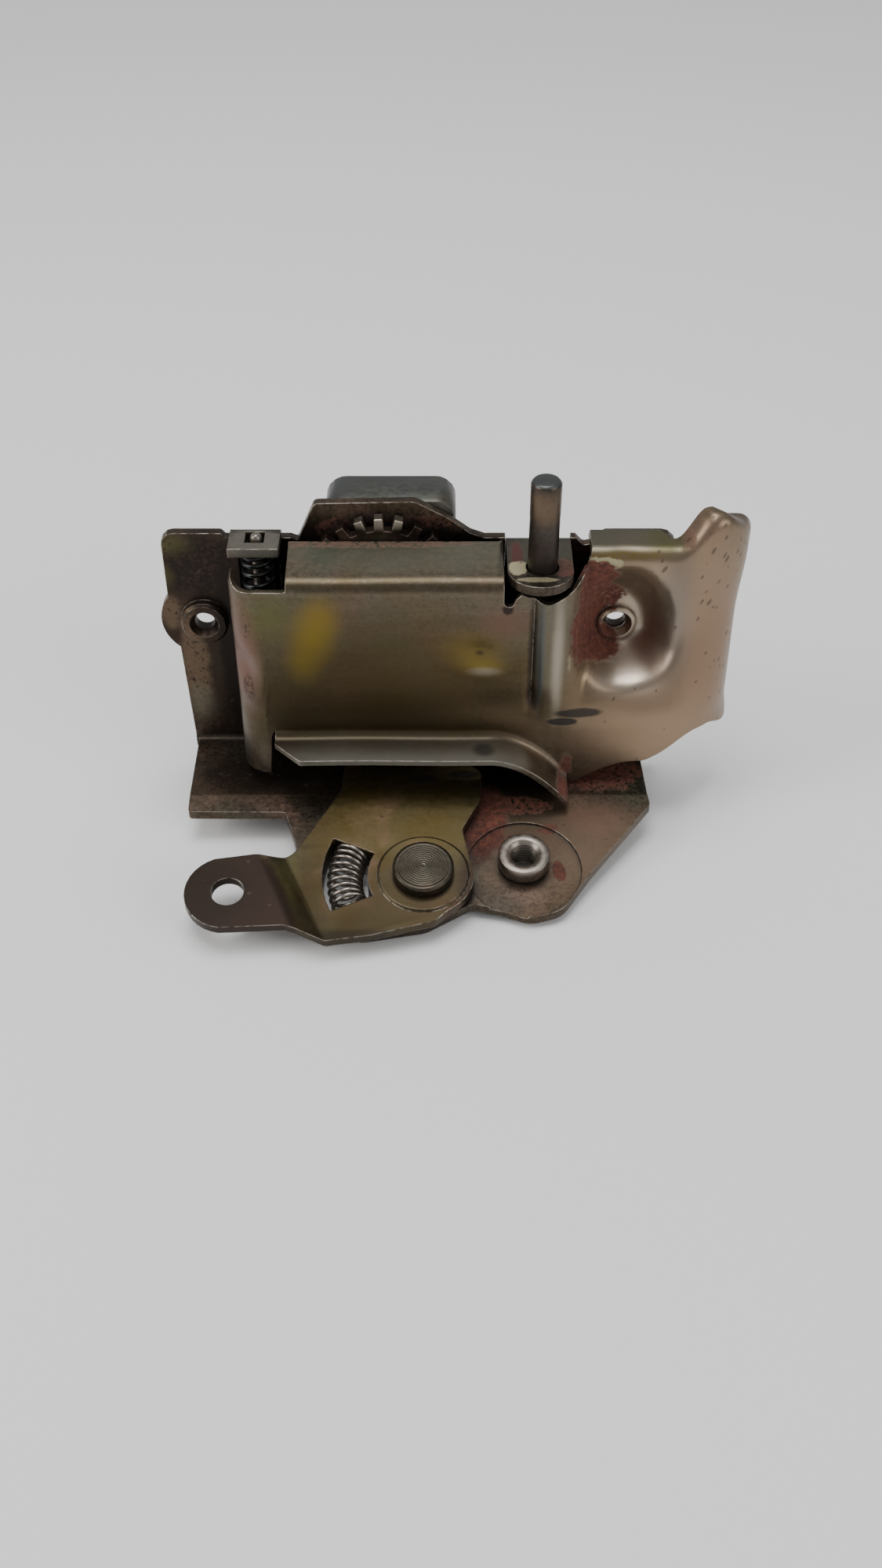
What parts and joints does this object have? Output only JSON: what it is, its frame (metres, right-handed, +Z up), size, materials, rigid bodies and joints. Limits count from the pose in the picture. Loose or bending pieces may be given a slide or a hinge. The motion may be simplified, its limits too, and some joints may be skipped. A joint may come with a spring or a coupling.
{
  "type": "vehicle door latch mechanism",
  "caption": "Pressed-steel vehicle door latch: back plate with a star-wheel rotor under a guard block, sprung pawl under a formed cover, sliding lock rod and a sprung remote release lever.",
  "frame": {"origin": "on the back plate's rear face, where the latch seats against the door's end, in the middle of the latch's width and 12 mm above the shelf's top", "axes": "+X along the shelf towards the lock rod's side, +Y out of the back plate's rear face towards the striker, +Z up along the lock rod"},
  "size_m": [0.1214, 0.0733, 0.0798],
  "materials": {
    "frame_zinc": "dull yellowed zinc plate, greasy and rusted in places",
    "cover_zinc": "worn yellow zinc plate over fine-grained sheet",
    "lever_zinc": "olive yellow zinc plate",
    "guard_grey": "satin grey",
    "bright_steel": "bright turned steel",
    "dark_steel": "dark, greased",
    "spring_steel": "drawn spring wire",
    "rod_steel": "brown worn steel with a lighter top",
    "bearing_bronze": "oiled bronze"
  },
  "bodies": {
    "frame": {"frame_plate": "frame_zinc", "cover": "cover_zinc", "rotor_guard": "guard_grey", "guard_rivet_left": "dark_steel", "guard_rivet_right": "dark_steel", "rotor_bearing": "bearing_bronze", "threaded_bush": "bright_steel", "lever_pivot_rivet": "bright_steel", "lever_washer": "dark_steel", "pawl_pivot_pin": "dark_steel", "pawl_clip": "dark_steel", "lock_pivot_pin": "dark_steel", "lock_clip": "dark_steel", "lever_return_spring": "spring_steel", "pawl_spring": "spring_steel"},
    "release_lever": {"remote_lever": "lever_zinc"},
    "pawl": {"pawl": "dark_steel", "pawl_stud": "dark_steel"},
    "guide_pin": {"spring_guide_pin": "dark_steel"},
    "lock_rod": {"lock_rod": "rod_steel", "rod_cross_pin": "dark_steel"},
    "lock_lever": {"lock_lever": "frame_zinc"},
    "rotor": {"rotor_shaft": "bright_steel", "ratchet_wheel": "bright_steel", "star_wheel": "bright_steel", "rotor_circlip": "dark_steel", "thrust_washer": "bearing_bronze"}
  },
  "joints": [
    {"name": "lever_turn", "type": "hinge", "parent": "frame", "child": "release_lever", "pos_m": [-0.0036, -0.0448, -0.0146], "axis": [0, -0.1736, 0.9848], "range_deg": [0, 8], "stiffness_Nm_per_rad": 0.3, "springref_deg": -11.46, "deforming": ["lever_return_spring", "pawl_spring"]},
    {"name": "pawl_turn", "type": "hinge", "parent": "frame", "child": "pawl", "pos_m": [-0.03, -0.0037, 0.01], "axis": [0, 1, 0], "range_deg": [0, 15]},
    {"name": "guide_pin_slide", "type": "slide", "parent": "frame", "child": "guide_pin", "axis": [0, 0, 1], "range_m": [0, 0.0019]},
    {"name": "lock_rod_slide", "type": "slide", "parent": "frame", "child": "lock_rod", "axis": [0, 0, 1], "range_m": [-0.007, 0]},
    {"name": "lock_lever_turn", "type": "hinge", "parent": "frame", "child": "lock_lever", "pos_m": [0.043, -0.0079, -0.0005], "axis": [0, 1, 0], "range_deg": [-17.5, 0]},
    {"name": "rotor_spin", "type": "hinge", "parent": "frame", "child": "rotor", "pos_m": [-0.012, 0, 0.03], "axis": [0, 1, 0], "continuous": true}
  ],
  "couplings": [
    {"joint": "pawl_turn", "follows": "lever_turn", "ratio": 1.87},
    {"joint": "guide_pin_slide", "follows": "lever_turn", "m_per_rad": 0.0136},
    {"joint": "lock_lever_turn", "follows": "lock_rod_slide", "rad_per_m": 43.5}
  ]
}
